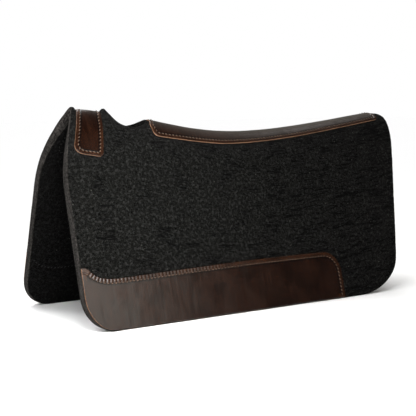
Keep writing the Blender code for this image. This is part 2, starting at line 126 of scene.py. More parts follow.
# Finish that only the looks have
FELT_EDGE_RADIUS = 0.0019     # softness of the cut felt's corners
LEATHER_TOP = 0.0027          # the leather's upper face, out from the felt's face
LEATHER_FOOT = -0.0003        # and its lower face
LEATHER_EDGE_RADIUS = 0.0005
LEATHER_THICKNESS = LEATHER_TOP - LEATHER_FOOT
CHANNEL_DEPTH = 0.0003        # groove that the stitches lie in
CHANNEL_WIDTH = 0.0014
CHANNEL_REACH = 0.006
ROLL = 0.00012                # how far the rim rolls up between its edge and the channel
ROLL_INSET = 0.0036
ROLL_WIDTH = 0.0022
PUCKER = 0.0007               # how far each stitch draws the leather's rim down
PUCKERED = (-0.24, -0.06)     # stations between which that eases
PUCKER_EASE = 0.67            # and by how much
PUCKER_WIDTH = 0.0015
FLAT_GATHER = 0.25            # share of the pucker where the felt below is held flat
RIM_WIDTH = 0.010             # beside the stitches, where a highlight is painted on the rim
RIM_FADE = (-0.0002, 0.0010)
PULL_SHADE = 0.75             # of the rim's painted highlight, taken away where the stitches pull it down: painted shade in the dips
PULL_SHADE_WIDTH = 1.3 * PUCKER_WIDTH
GROOVE_SHADE_OFFSET = 0.0019        # of the painted shade in the groove, in from the stitches
PRESS = 0.0008                # how far the felt gives under the leather
PRESS_EDGE = (-0.0012, 0.0010)
PUFF = 0.0006                 # how far it swells beside it
PUFF_OFFSET = 0.0055
PUFF_WIDTH = 0.0042
STRAP_SINK = 0.0042           # how much further the strap is pulled into the crest
STRAP_SINK_REACH = 0.040      # and the arc length over which that fades
STRAP_SINK_EDGE = (-0.0065, 0.0005)
# height, station, length and arc length of each rise of the felt on the crest
CREST_RISES = ((0.0052, -0.2795, 0.0115, 0.036), (0.0020, FRONT + 0.042, 0.006, 0.012))
GROOVE_DEPTH = 0.0022         # the pull of the stitches on the inside
GROOVE_WIDTH = 0.0022
SHOULDER_DEPTH = 0.0005
SHOULDER_WIDTH = 0.006
STITCH_PITCH = 0.0073
STITCH_LENGTH = 0.0032        # of that, what shows between two holes
STITCH_SLANT = 0.0008
STITCH_ARCH = 0.0006          # rise of a top stitch over the leather
BOBBIN_ARCH = -0.0004         # and of a bobbin stitch under the felt
THREAD_RADIUS = 0.0010
BOBBIN_RADIUS = 0.0007
TWIST = 5.0                   # turn of a stitch's strands over its length, in radians
SEAM_TWIST = 6.0
STRANDS = 3
STRAND_DEPTH = 0.13           # of the hollows between strands, as a part of the radius
SEAM_PITCH = 0.013            # zigzag that joins the halves
SEAM_REACH = 0.005
SEAM_HEIGHT = 0.0008          # off the inner face
SEAM_BITE = 0.0015            # how far its ends go back into the felt
SEAM_PAST_STRAP = 0.003
SEAM_PAST_HOLE = 0.014

# Mesh density
LINE_SPACING = 0.0008         # of the points along an outline
CURVE_POINTS = 60             # of each curve in the wear leather's upper edge
SEWN_SPACING = 0.0012         # of the leather's faces along a row of stitches
LEATHER_SPACING = 0.0030      # and across it
STRAP_SPACING = 0.0040
FELT_SPACING = 0.0033         # of the felt's faces
FELT_FRONT_SPACING = 0.0029
FELT_SEWN_SPACING = 0.0016    # where stitches draw it in
FELT_EDGE_SPACING = 0.0017
FELT_HOLE_SPACING = 0.0015
FELT_TURN = 0.066             # height up to which its rows follow the rounded corners
FRONT_SHIFT = 0.10            # how far in its columns shift to meet the shaped ends
REAR_SHIFT = 0.33
STITCH_RINGS = 9
# millimetres from a leather's edge to each of its first faces
RIM_STEPS = (0, 0.4, 0.9, 1.6, 2.5, 3.4, 4.2, 4.8, 5.4, 6.0, 6.6, 7.2, 7.8, 8.4, 9.0, 9.8, 11.5)

SLOPE = sqrt(FLARE ** 2 + FLEX_HEIGHT ** 2)
DOWN = np.array((FLARE, -FLEX_HEIGHT)) / SLOPE      # outward and down, in a section
FLAP_DROP = SLOPE             # length of the flap, from the flex line to the ground
LEFT, RIGHT = -1, 1
SIDES = (("left", LEFT), ("right", RIGHT))


# ---- the draped surface

def bezier(points, t):
    """Points on a cubic Bezier curve; points has four rows."""
    a, b, c, d = (np.asarray(p, float) for p in points)
    t = np.asarray(t, float)[..., None]
    return a * (1 - t) ** 3 + b * 3 * t * (1 - t) ** 2 + c * 3 * t * t * (1 - t) + d * t ** 3


def ramp(count):
    return np.linspace(0.0, 1.0, count)


SPINE = np.vstack([bezier(WITHERS_TO_DIP, ramp(300)), bezier(DIP_TO_RUMP, ramp(300))[1:]])
FRONT_CURVE = bezier(FRONT_EDGE, ramp(200))
REAR_CURVE = bezier(REAR_EDGE, ramp(200))


def front_edge(s):
    return np.interp(s, FRONT_CURVE[:, 0], FRONT_CURVE[:, 1])


def rear_edge(s):
    curve = np.interp(s, REAR_CURVE[:, 0], REAR_CURVE[:, 1])
    return curve + REAR_EDGE_SLOPE * np.maximum(np.asarray(s) - REAR_CURVE[-1, 0], 0.0)


def section_knots(x):
    """The four Bezier points of the section at each station: spine, level, straight, flex."""
    x = np.asarray(x, float)
    crest = np.interp(x, SPINE[:, 0], SPINE[:, 1])
    level = np.interp(x, (FRONT, REAR), CREST_FULLNESS)
    straight = np.minimum(FLEX_FULLNESS, FLEX_FULLNESS_LIMIT * (crest - FLEX_HEIGHT))
    flex = np.stack([FLEX_HALF_WIDTH + FLEX_WIDENING * x, np.full_like(x, FLEX_HEIGHT)], -1)
    zero = np.zeros_like(x)
    return (np.stack([zero, crest], -1), np.stack([level, crest], -1),
            flex - DOWN * straight[..., None], flex)


STATIONS = np.linspace(FRONT - 0.01, REAR + 0.01, 241)
STEPS = 160


def arc_table():
    """Length of each station's curve, and the curve's parameter at equal steps of length."""
    knots = section_knots(STATIONS)
    line = np.stack([bezier(knots, np.full(STATIONS.shape, t)) for t in ramp(STEPS)], 1)
    steps = np.linalg.norm(np.diff(line, axis=1), axis=2)
    lengths = np.concatenate([np.zeros((len(STATIONS), 1)), np.cumsum(steps, 1)], 1)
    parameters = [np.interp(ramp(STEPS) * row[-1], row, ramp(STEPS)) for row in lengths]
    return lengths[:, -1], np.array(parameters)


FLEX_LENGTHS, PARAMETERS = arc_table()


def flex_length(x):
    """Arc length from the spine to the flex line."""
    return np.interp(x, STATIONS, FLEX_LENGTHS)


def surface(x, s, out):
    """Sideways distance and height at arc length s >= 0."""
    x, s, out = np.broadcast_arrays(*(np.asarray(v, float) for v in (x, s, out)))
    length = flex_length(x)
    column = np.clip((x - STATIONS[0]) / (STATIONS[1] - STATIONS[0]), 0, len(STATIONS) - 1.001)
    row = np.clip(s / length, 0, 1) * (STEPS - 1.001)
    i, j = column.astype(int), row.astype(int)
    p, q = column - i, row - j
    t = ((PARAMETERS[i, j] * (1 - q) + PARAMETERS[i, j + 1] * q) * (1 - p)
         + (PARAMETERS[i + 1, j] * (1 - q) + PARAMETERS[i + 1, j + 1] * q) * p)
    a, b, c, d = section_knots(x)
    u = t[..., None]
    tangent = (b - a) * (1 - u) ** 2 + (c - b) * 2 * u * (1 - u) + (d - c) * u * u
    tangent /= np.linalg.norm(tangent, axis=-1, keepdims=True)
    point = bezier((a, b, c, d), t)
    below = (s > length)[..., None]
    point = np.where(below, d + DOWN * (s - length)[..., None], point)
    tangent = np.where(below, DOWN, tangent)
    normal = np.stack([-tangent[..., 1], tangent[..., 0]], -1)
    return point + normal * out[..., None]


def place(side, x, s, out=0.0):
    """Points in the row frame. A negative s is on the other side of the spine."""
    x, s, out = np.broadcast_arrays(*(np.asarray(v, float) for v in (x, s, out)))
    section = surface(x, np.abs(s), out)
    away = np.where(s < 0, -side, side)
    return np.stack([x, away * section[..., 0], section[..., 1]], -1)


def clear_length(x, depth, clear):
    """Arc length at which the surface that lies depth inside is clear away from the middle."""
    low, high = np.zeros_like(x), flex_length(x)
    for _ in range(26):
        middle = (low + high) / 2
        short = surface(x, middle, -depth)[..., 0] < clear
        low, high = np.where(short, middle, low), np.where(short, high, middle)
    return high


def corner_run(across, reach, size):
    """How far a rounded corner draws the end of a row in; across is measured from the corner."""
    part = np.clip((reach - np.asarray(across, float)) / reach, 0.0, 1.0)
    return size * (1 - np.sqrt(1 - part ** 2))


# ---- mesh tools

def graded(*stretches):
    """Positions with a given spacing on each stretch: start, then pairs of end and spacing."""
    line = [np.array(stretches[:1], float)]
    start = stretches[0]
    for end, spacing in stretches[1:]:
        count = max(1, round((end - start) / spacing))
        line.append(np.linspace(start, end, count + 1)[1:])
        start = end
    return np.concatenate(line)


def rimmed(length, middle):
    """Parts of a length, close together over the sewn rims at both ends."""
    rim = np.array(RIM_STEPS) / 1000
    inner = np.linspace(rim[-1], length - rim[-1], max(2, round((length - 2 * rim[-1]) / middle)))
    return np.concatenate([rim, inner[1:-1], (length - rim)[::-1]]) / length


def noise_field(points, scale, seed):
    """Smooth noise from about -1 to 1 at each row of points."""
    shift = np.array((seed * 7.31, seed * 3.17, seed * 5.53))
    spots = (points.reshape(-1, 3) * scale + shift).tolist()
    return np.array([noise.noise(spot) for spot in spots]).reshape(points.shape[:-1])


def nearest(flat, dots):
    """The nearest dot to each flat point, with its index and distance."""
    tree = KDTree(len(dots))
    for k, (a, b) in enumerate(dots):
        tree.insert((a, b, 0.0), k)
    tree.balance()
    return [tree.find((a, b, 0.0)) for a, b in flat.reshape(-1, 2).tolist()]


def distance(flat, *lines):
    """Distance in the flat from each point to the nearest of the lines' points."""
    found = nearest(flat, np.concatenate(lines))
    return np.array([reach for _, _, reach in found]).reshape(flat.shape[:-1])


def resample(line, spacing, closed=False):
    """Points at an even spacing along a line of flat points."""
    line = np.asarray(line, float)
    if closed:
        line = np.vstack([line, line[:1]])
    run = np.concatenate([[0.0], np.cumsum(np.linalg.norm(np.diff(line, axis=0), axis=1))])
    count = max(2, round(run[-1] / spacing))
    at = np.linspace(0, run[-1], count + 1)
    return np.stack([np.interp(at, run, line[:, k]) for k in range(2)], 1)


def bump_at(d, centre, width):
    return np.exp(-((d - centre) / width) ** 2)


def smooth_step(value, low, high):
    t = np.clip((value - low) / (high - low), 0.0, 1.0)
    return t * t * (3 - 2 * t)


def new_object(name, data, materials=()):
    piece = bpy.data.objects.new(name, data)
    for material in materials:
        data.materials.append(material)
    bpy.context.scene.collection.objects.link(piece)
    return piece


def add_values(mesh, name, kind, values):
    layer = mesh.attributes.new(name, kind, "POINT")
    layer.data.foreach_set("vector" if kind == "FLOAT_VECTOR" else "value",
                           np.asarray(values, np.float32).ravel())


def closed_mesh(name, points, faces, flat):
    """A smooth mesh whose faces all look outward. flat is the same points laid flat."""
    mesh = bpy.data.meshes.new(name)
    mesh.from_pydata(points.tolist(), [], faces)
    mesh.update()
    shell = bmesh.new()
    shell.from_mesh(mesh)
    bmesh.ops.recalc_face_normals(shell, faces=shell.faces)
    shell.to_mesh(mesh)
    shell.free()
    add_values(mesh, "flat", "FLOAT_VECTOR", flat)
    mesh.shade_smooth()
    return mesh


def block(name, layers, flats, materials, turns=0, marks=None):
    """A closed sheet from its layers of points, upper face first. The layers between the two
    faces give only their borders, which are the cut edge. flats are the same points laid flat.
    The second material is the cut edge's, below the given number of layers. marks has a value
    for each point of a layer; without it, the cut edge is marked with 1."""
    rows, columns = layers[0].shape[:2]
    border = ([(0, j) for j in range(columns)] + [(i, columns - 1) for i in range(1, rows)]
              + [(rows - 1, j) for j in range(columns - 2, -1, -1)]
              + [(i, 0) for i in range(rows - 2, 0, -1)])
    around = tuple(np.array(border).T)
    grid = np.arange(rows * columns).reshape(rows, columns)
    face_marks = np.zeros(rows * columns) if marks is None else marks.ravel()
    wall_marks = np.ones(len(border)) if marks is None else marks[around]
    points, flat, values, rings, start = [], [], [], [], 0
    for k, (layer, laid) in enumerate(zip(layers, flats)):
        if k in (0, len(layers) - 1):
            rings.append(start + grid[around])
            points.append(layer.reshape(-1, 3))
            flat.append(laid.reshape(-1, 3))
            values.append(face_marks)
        else:
            rings.append(start + np.arange(len(border)))
            points.append(layer[around])
            flat.append(laid[around])
            values.append(wall_marks)
        start += len(points[-1])
    last = start - rows * columns
    upper = np.stack([grid[:-1, :-1], grid[:-1, 1:], grid[1:, 1:], grid[1:, :-1]], -1).reshape(-1, 4)
    quads = [upper, upper[:, ::-1] + last]
    for above, below in zip(rings, rings[1:]):
        quads.append(np.stack([np.roll(above, -1), above, below, np.roll(below, -1)], -1))
    faces = np.concatenate(quads)
    mesh = closed_mesh(name, np.concatenate(points), faces.tolist(), np.concatenate(flat))
    if len(materials) > 1:
        walls = np.zeros(len(faces), np.int32)
        walls[2 * len(upper) + turns * len(border):] = 1
        mesh.polygons.foreach_set("material_index", walls)
    add_values(mesh, "mark", "FLOAT", np.concatenate(values))
    return new_object(name, mesh, materials)


def rounded_layers(thickness, radius, turns, walls):
    """Depth below the upper face, and how far the border draws in, for each layer."""
    angles = np.linspace(0, pi / 2, turns + 1)
    depth, inset = radius * (1 - np.cos(angles)), radius * (1 - np.sin(angles))
    wall = np.linspace(radius, thickness - radius, walls + 2)[1:-1]
    return list(zip(np.concatenate([depth, wall, thickness - depth[::-1]]),
                    np.concatenate([inset, 0 * wall, inset[::-1]])))


# ---- outlines in the flat

def strap_ends(s, inset=0.0):
    """Front and rear station of the withers strap at arc length s."""
    across = STRAP_DROP - inset - np.abs(s)
    front_run, rear_run = [corner_run(across, up - inset, along - inset)
                           for along, up in (STRAP_FRONT_CORNER, STRAP_REAR_CORNER)]
    return (STRAP_FRONT + STRAP_FRONT_LEAN * np.abs(s) + inset + front_run,
            STRAP_REAR + STRAP_REAR_LEAN * np.abs(s) - inset - rear_run)


def slant(x):
    """How much the strap is drawn up at each station, to give its ends their slant."""
    foot = STRAP_REAR + STRAP_REAR_LEAN * STRAP_DROP
    return 1 + STRAP_SLANT * (x - foot) / STRAP_DROP


def strip_width(x):
    stations, widths = zip(*STRIP_HALF_WIDTHS)
    return np.interp(x, stations, widths)


def strip_ends(v, inset=0.0):
    """Front and rear station of the spine strip at the part v of its half width."""
    width = strip_width(0.0) - inset
    reach = STRIP_CORNER - inset * 0.6
    run = corner_run(width * (1 - np.abs(v)), reach, reach)
    dip = STRIP_FRONT_DIP * np.maximum(0.0, 1.0 - np.abs(v) / STRIP_DIP_WIDTH)
    return STRIP_FRONT + dip + inset + run, STRIP_REAR - inset - run


def strap_line(inset):
    """Closed outline of the strap, or its stitch line, in the flat."""
    s = (STRAP_DROP - inset) * np.sin(np.linspace(-pi / 2, pi / 2, 160))
    front, rear = [np.stack([x, s * slant(x)], 1) for x in strap_ends(s, inset)]
    return np.concatenate([front, rear[::-1]])


def strip_line(inset):
    v = np.sin(np.linspace(-pi / 2, pi / 2, 90))
    front, rear = strip_ends(v, inset)
    along = ramp(200)[1:-1]
    corners = [front[k] + (rear[k] - front[k]) * along for k in (0, -1)]
    sides = zip((front, rear, *corners), (v, v, -1, 1))
    first, last, low, high = [np.stack([x, part * (strip_width(x) - inset)], 1) for x, part in sides]
    return np.concatenate([first, high, last[::-1], low[::-1]])


def patch_top_curves():
    """Bezier curves of the wear leather's upper edge, from the horn's tip to its rear corner."""
    horn = PATCH_FRONT + HORN_WIDTH
    side = HORN_HEIGHT - HORN_ROUND
    rear_top = PATCH_REAR - PATCH_REAR_CORNER[0]
    cap = ((PATCH_FRONT, side), (PATCH_FRONT, HORN_HEIGHT),
           (horn - HORN_WIDTH / 4, HORN_HEIGHT), (horn, side))
    fall = ((horn, side), (horn + HORN_WIDTH * HORN_LEAVE, side - HORN_ROUND),
            (PATCH_DIP_X - DIP_HANDLES[0], PATCH_DIP), (PATCH_DIP_X, PATCH_DIP))
    rise = ((PATCH_DIP_X, PATCH_DIP), (PATCH_DIP_X + DIP_HANDLES[1], PATCH_DIP),
            (PATCH_TOP_X - TOP_HANDLES[0], PATCH_TOP), (PATCH_TOP_X, PATCH_TOP))
    level = ((PATCH_TOP_X, PATCH_TOP), (rear_top, PATCH_TOP))
    return [bezier(curve, ramp(CURVE_POINTS)) for curve in (cap, fall, rise)] + [np.array(level)]


PATCH_TOP_LINE = np.concatenate(patch_top_curves())


def patch_ends(up, inset=0.0):
    """Front and rear station of the wear leather at a height up the slope."""
    rise, run = FRONT_CORNER[1] - inset, FRONT_CORNER[0] - inset
    front = PATCH_FRONT + inset + corner_run(up - PATCH_BOTTOM - inset, rise, run)
    fall, back = PATCH_REAR_CORNER[1] - inset, PATCH_REAR_CORNER[0] - inset
    lean = PATCH_REAR_LEAN * (1 - up / PATCH_TOP)
    rear = PATCH_REAR - inset - lean - corner_run(PATCH_TOP - inset - up, fall, back)
    return front, rear


def patch_top(x, inset=0.0):
    return np.interp(x, PATCH_TOP_LINE[:, 0], PATCH_TOP_LINE[:, 1]) - inset


def patch_rear_line(inset):
    """The wear leather's rear end, from its upper corner down to the bottom."""
    height = PATCH_TOP - inset - PATCH_BOTTOM
    up = PATCH_BOTTOM + height * np.cos(np.linspace(0, pi / 2, 80))
    return np.stack([patch_ends(up, inset)[1], up], 1)


def patch_outline():
    up = PATCH_BOTTOM + (HORN_HEIGHT - HORN_ROUND - PATCH_BOTTOM) * np.sin(ramp(80) * pi / 2)
    front = np.stack([patch_ends(up)[0], up], 1)
    low = resample([(front[0, 0], PATCH_BOTTOM), (patch_rear_line(0.0)[-1, 0], PATCH_BOTTOM)], 0.002)
    top = resample(PATCH_TOP_LINE, 0.001)
    return np.concatenate([front, low, top, patch_rear_line(0.0)])


def patch_stitch_line():
    """From the horn along the upper edge and down the rear end, at the stitches' inset."""
    top = resample(PATCH_TOP_LINE[CURVE_POINTS:], LINE_SPACING)
    tangent = np.gradient(top, axis=0)
    tangent /= np.linalg.norm(tangent, axis=1)[:, None]
    inner = top + np.stack([tangent[:, 1], -tangent[:, 0]], 1) * PATCH_STITCH_INSET
    keep = inner[:, 0] > PATCH_FRONT + PATCH_STITCH_CLEAR[0]
    line = np.vstack([inner[keep], patch_rear_line(PATCH_STITCH_INSET)[1:]])
    return line[line[:, 1] > PATCH_BOTTOM + PATCH_STITCH_CLEAR[1]]


STRAP_OUTLINE = resample(strap_line(0.0), LINE_SPACING, closed=True)
STRIP_OUTLINE = resample(strip_line(0.0), LINE_SPACING, closed=True)
PATCH_OUTLINE = patch_outline()
STRAP_SEWN = resample(strap_line(STITCH_INSET), LINE_SPACING, closed=True)
STRIP_SEWN = resample(strip_line(STITCH_INSET), LINE_SPACING, closed=True)
PATCH_SEWN = resample(patch_stitch_line(), LINE_SPACING)


def ground_length(x):
    """Arc length from the spine down to the ground."""
    return flex_length(x) + FLAP_DROP


# ---- materials

# Linear colours, each pair from dark to light
NO_LIGHT = (0.0, 0.0, 0.0)
WOOL, FIBRE, LINT = (0.0106, 0.0104, 0.0095), (0.032, 0.0318, 0.0295), (0.060, 0.059, 0.052)
# Painted shade in the felt's creases
CREASE_SHADE = (0.0003, 0.0003, 0.0003)
CUT_FELT = (0.009, 0.0081, 0.0072), (0.056, 0.0504, 0.0461)
CUT_FELT_SHRED = (0.004, 0.0037, 0.0034)
HIDE = (0.0050, 0.0013, 0.0004), (0.0130, 0.0038, 0.0013)
# Painted highlight on the sewn rims, and painted shade in the groove inside the stitches
RIM_HIGHLIGHT_HIDE, GROOVE_SHADE_HIDE = (0.0260, 0.0090, 0.0033), (0.0030, 0.0008, 0.0003)
PORE = (0.0028, 0.0009, 0.0004)
RAW_HIDE = (0.14, 0.066, 0.034), (0.36, 0.20, 0.115)
WORN_HIDE = (0.06, 0.027, 0.014)
TAN = (0.026, 0.016, 0.011), (0.110, 0.070, 0.047)
NEAR_BLACK = (0.006, 0.0055, 0.005), (0.018, 0.017, 0.016)


def shader_tree(name, **values):
    """A material with a Principled shader whose plain values are set on its own sockets."""
    material = bpy.data.materials.new(name)
    material.use_nodes = True
    shader = material.node_tree.nodes["Principled BSDF"]
    for socket, value in values.items():
        shader.inputs[socket.replace("_", " ")].default_value = value
    return material, material.node_tree, shader


def wired(tree, kind, output, inputs=None, **settings):
    """Output of a new node whose inputs are set to plain values or linked from sockets."""
    made = tree.nodes.new("ShaderNode" + kind)
    for name, value in settings.items():
        setattr(made, name, value)
    for name, value in (inputs or {}).items():
        if isinstance(value, bpy.types.NodeSocket):
            tree.links.new(value, made.inputs[name])
        else:
            made.inputs[name].default_value = value
    return made.outputs[output]


def flat_places(tree):
    """Texture coordinates fixed to the sheet: station, arc length and depth, in metres."""
    return wired(tree, "Attribute", "Vector", attribute_name="flat")


def marked(tree):
    return wired(tree, "Attribute", "Fac", attribute_name="mark")


def stretched(tree, vector, scale):
    return wired(tree, "Mapping", "Vector", {"Vector": vector, "Scale": scale})


def noise_texture(tree, vector, scale, detail=2.0, roughness=0.5, distortion=0.0):
    return wired(tree, "TexNoise", "Fac", {
        "Vector": vector, "Scale": scale, "Detail": detail, "Roughness": roughness,
        "Distortion": distortion})


def cells(tree, vector, scale):
    return wired(tree, "TexVoronoi", "Distance", {"Vector": vector, "Scale": scale})


def remap(tree, value, low, high, to_low=0.0, to_high=1.0):
    return wired(tree, "MapRange", "Result", {
        "Value": value, "From Min": low, "From Max": high, "To Min": to_low, "To Max": to_high},
        interpolation_type="SMOOTHSTEP")


def join(tree, operation, a, b):
    return wired(tree, "Math", "Value", {0: a, 1: b}, operation=operation)


def mix(tree, factor, a, b):
    """Blend of two colours, each a value or a socket."""
    a, b = [(*colour, 1.0) if isinstance(colour, tuple) else colour for colour in (a, b)]
    return wired(tree, "Mix", 2, {"Factor": factor, 6: a, 7: b}, data_type="RGBA")


def bump(tree, shader, *heights):
    """Stacked bump maps, each a height socket, a strength and a depth in metres."""
    below = {}
    for height, strength, depth in heights:
        normal = wired(tree, "Bump", "Normal", {
            "Height": height, "Strength": strength, "Distance": depth, **below})
        below = {"Normal": normal}
    tree.links.new(normal, shader.inputs["Normal"])


def ridge(tree, value, width):
    """1 on the middle contour of a noise and 0 beyond the width: thin, wandering lines."""
    away = join(tree, "ABSOLUTE", join(tree, "SUBTRACT", value, 0.5), 0.0)
    return remap(tree, away, width * 0.35, width, 1.0, 0.0)


def felt_material():
    """Needled wool felt: dark grey and mottled, with curled lighter fibres and fine creases. Painted
    shade darkens the creases, the felt towards its inner face, and the cut walls of the withers hole.
    """
    material, tree, shader = shader_tree(
        "wool_felt", Roughness=1.0, Specular_IOR_Level=0.03, Sheen_Weight=0.03,
        Sheen_Roughness=0.5, Sheen_Tint=(0.5, 0.5, 0.5, 1.0))
    flat = flat_places(tree)
    clumps = noise_texture(tree, flat, 400.0, 2.0, 0.5, 2.0)
    tufts = noise_texture(tree, flat, 800.0, 2.0, 0.5, 1.0)
    mottle = join(tree, "ADD", join(tree, "MULTIPLY", clumps, 0.65), join(tree, "MULTIPLY", tufts, 0.35))
    base = mix(tree, remap(tree, mottle, 0.465, 0.555), NO_LIGHT, WOOL)
    curls = []
    for scale, width in ((150.0, 0.024), (220.0, 0.030), (310.0, 0.040)):
        curl = noise_texture(tree, stretched(tree, flat, (1, 1, 1.0 + scale / 500)), scale, 1.0, 0.4, 0.9)
        curls.append(ridge(tree, curl, width))
    fibres = join(tree, "MAXIMUM", join(tree, "MAXIMUM", curls[0], curls[1]), curls[2])
    broken = remap(tree, noise_texture(tree, flat, 170.0, 2.0), 0.47, 0.62)
    fibres = join(tree, "MULTIPLY", fibres, broken)
    base = mix(tree, join(tree, "MULTIPLY", fibres, 0.75), base, FIBRE)
    folds = noise_texture(tree, stretched(tree, flat, (15.0, 130.0, 40.0)), 1.0, 2.0, 0.5, 0.5)
    where = noise_texture(tree, flat, 26.0, 2.0)
    station, depth = [wired(tree, "SeparateXYZ", axis, {"Vector": flat}) for axis in "XZ"]
    rearward = remap(tree, station, -0.25, 0.25, -0.10, 0.05)
    # Painted shade: the creases are darkened almost to black
    creases = join(tree, "MULTIPLY", ridge(tree, folds, 0.055),
                   remap(tree, join(tree, "ADD", where, rearward), 0.43, 0.52))
    base = mix(tree, join(tree, "MULTIPLY", creases, 0.9), base, CREASE_SHADE)
    # Painted shade: the felt darkens with depth, down its cut edges and over its whole inner face
    base = mix(tree, remap(tree, depth, 0.008, 0.017, 0.0, 0.5), base, NO_LIGHT)
    lint = remap(tree, cells(tree, flat, 95.0), 0.07, 0.13, 1.0, 0.0)
    rare = remap(tree, noise_texture(tree, flat, 50.0), 0.58, 0.62)
    base = mix(tree, join(tree, "MULTIPLY", lint, rare), base, LINT)
    # Painted shade: near the withers hole the cut walls keep the dark face colour instead of the lighter
    # cut colour
    to_hole = wired(tree, "VectorMath", "Value", {0: flat, 1: (HOLE_CENTRE_X, 0.0, 0.0)},
                    operation="DISTANCE")
    cut = join(tree, "MULTIPLY", marked(tree), remap(tree, to_hole, 0.055, 0.070))
    grain = noise_texture(tree, stretched(tree, flat, (60.0, 60.0, 700.0)), 1.0, 4.0, 0.65)
    shreds = noise_texture(tree, flat, 260.0, 3.0, 0.6)
    edge = mix(tree, remap(tree, grain, 0.36, 0.64), *CUT_FELT)
    edge = mix(tree, remap(tree, shreds, 0.42, 0.54, 0.7, 0.0), edge, CUT_FELT_SHRED)
    tree.links.new(mix(tree, cut, base, edge), shader.inputs["Base Color"])
    bump(tree, shader, (clumps, 0.9, 0.0018), (tufts, 0.7, 0.0008), (fibres, 0.6, 0.0008),
         (join(tree, "SUBTRACT", 1.0, creases), 0.8, 0.0014))
    return material


def leather_material():
    """Oiled harness leather: dark brown with a fine closed grain, a painted highlight on the sewn rims,
    and painted shade in the groove inside the stitches.
    """
    material, tree, shader = shader_tree("oiled_leather", Specular_IOR_Level=0.5)
    flat = flat_places(tree)
    clouds = noise_texture(tree, flat, 22.0, 3.0, 0.55, 0.4)
    grain = cells(tree, flat, 1150.0)
    pores = noise_texture(tree, flat, 1900.0, 2.0, 0.6)
    bands = noise_texture(tree, stretched(tree, flat, (55.0, 5.0, 5.0)), 1.0, 2.0, 0.5, 0.3)
    streaks = noise_texture(tree, stretched(tree, flat, (260.0, 14.0, 14.0)), 1.0, 3.0, 0.6, 0.3)
    tone = join(tree, "ADD", join(tree, "MULTIPLY", clouds, 0.6), join(tree, "MULTIPLY", streaks, 0.4))
    base = mix(tree, remap(tree, tone, 0.36, 0.64), *HIDE)
    rim, groove = remap(tree, marked(tree), 0.0, 1.0), remap(tree, marked(tree), 0.0, -0.9)
    # Painted highlight: the rim beside the stitches is lighter, less so in the dips that the stitches
    # pull down
    pulled = join(tree, "MULTIPLY", rim, remap(tree, clouds, 0.35, 0.60, 0.35, 0.95))
    base = mix(tree, pulled, base, RIM_HIGHLIGHT_HIDE)
    # Painted shade in the groove inside the stitches
    base = mix(tree, groove, base, GROOVE_SHADE_HIDE)
    base = mix(tree, remap(tree, pores, 0.30, 0.42, 0.6, 0.0), base, PORE)
    tree.links.new(base, shader.inputs["Base Color"])
    tree.links.new(remap(tree, tone, 0.3, 0.7, 0.19, 0.26), shader.inputs["Roughness"])
    bump(tree, shader, (bands, 0.16, 0.0016), (streaks, 0.14, 0.0005), (grain, 0.14, 0.00018),
         (pores, 0.1, 0.00010))
    return material


def raw_edge_material():
    """The cut edge of vegetable-tanned leather: bare tan fibre."""
    material, tree, shader = shader_tree("raw_leather_edge", Roughness=0.72, Specular_IOR_Level=0.3)
    flat = flat_places(tree)
    fibre = noise_texture(tree, stretched(tree, flat, (500.0, 500.0, 2400.0)), 1.0, 3.0, 0.6)
    worn = noise_texture(tree, flat, 90.0, 2.0)
    base = mix(tree, remap(tree, fibre, 0.35, 0.65), *RAW_HIDE)
    base = mix(tree, remap(tree, worn, 0.30, 0.50, 0.5, 0.0), base, WORN_HIDE)
    tree.links.new(base, shader.inputs["Base Color"])
    bump(tree, shader, (fibre, 0.5, 0.0003))
    return material


def thread_material(name, colours, roughness):
    """Waxed, laid thread; the strands themselves are in the mesh."""
    material, tree, shader = shader_tree(name, Roughness=roughness, Specular_IOR_Level=0.25)
    flat = flat_places(tree)
    strands = noise_texture(tree, flat, 1500.0, 2.0, 0.6)
    base = mix(tree, remap(tree, strands, 0.35, 0.65), *colours)
    tree.links.new(base, shader.inputs["Base Color"])
    bump(tree, shader, (strands, 0.4, 0.0002))
    return material


FELT = felt_material()
LEATHER = leather_material()
RAW_EDGE = raw_edge_material()
TAN_THREAD = thread_material("tan_thread", TAN, 0.75)
DARK_THREAD = thread_material("dark_thread", NEAR_BLACK, 0.7)


# ---- felt

def felt_relief(flat, outer):
    """How far a felt face stands out from its even surface, at flat places (x, s, depth)."""
    waves = 0.0007 * noise_field(flat, 11.0, 1 if outer else 2)
    folds = 0.00035 * noise_field(flat * (1, 2.6, 1), 34.0, 3)
    tufts = 0.00030 * noise_field(flat, 120.0, 4)
    crease_lines = np.maximum(0.0, 1 - 7 * np.abs(noise_field(flat * (0.30, 1.0, 1), 85.0, 5)))
    rearward = smooth_step(flat[..., 0], -0.15, 0.30)
    return waves + folds + tufts - 0.0005 * crease_lines * rearward


def leather_depths(side, x, s):
    """Signed distance from each leather's outline, in the flat, negative inside it."""
    up = ground_length(x) - s
    spine_flat = np.stack([x, -side * s], -1)
    flap_flat = np.stack([x, up], -1)
    nominal = s / slant(x)
    front, rear = strap_ends(nominal)
    in_strap = (nominal < STRAP_DROP) & (x > front) & (x < rear)
    width = strip_width(x)
    front, rear = strip_ends(np.clip(s / width, 0, 1))
    in_strip = (s < width) & (x > front) & (x < rear)
    front, rear = patch_ends(np.clip(up, PATCH_BOTTOM, PATCH_TOP))
    in_patch = (up > PATCH_BOTTOM) & (up < patch_top(x)) & (x > front) & (x < rear)
    fields = ((spine_flat, STRAP_OUTLINE, in_strap), (spine_flat, STRIP_OUTLINE, in_strip),
              (flap_flat, PATCH_OUTLINE, in_patch))
    return [np.where(inside, -1.0, 1.0) * distance(flat, line) for flat, line, inside in fields]


def strap_sink(s):
    """How far the strap is pulled into the felt, which gives most where the crest is narrow."""
    return STRAP_SINK * np.exp(-(s / STRAP_SINK_REACH) ** 2)


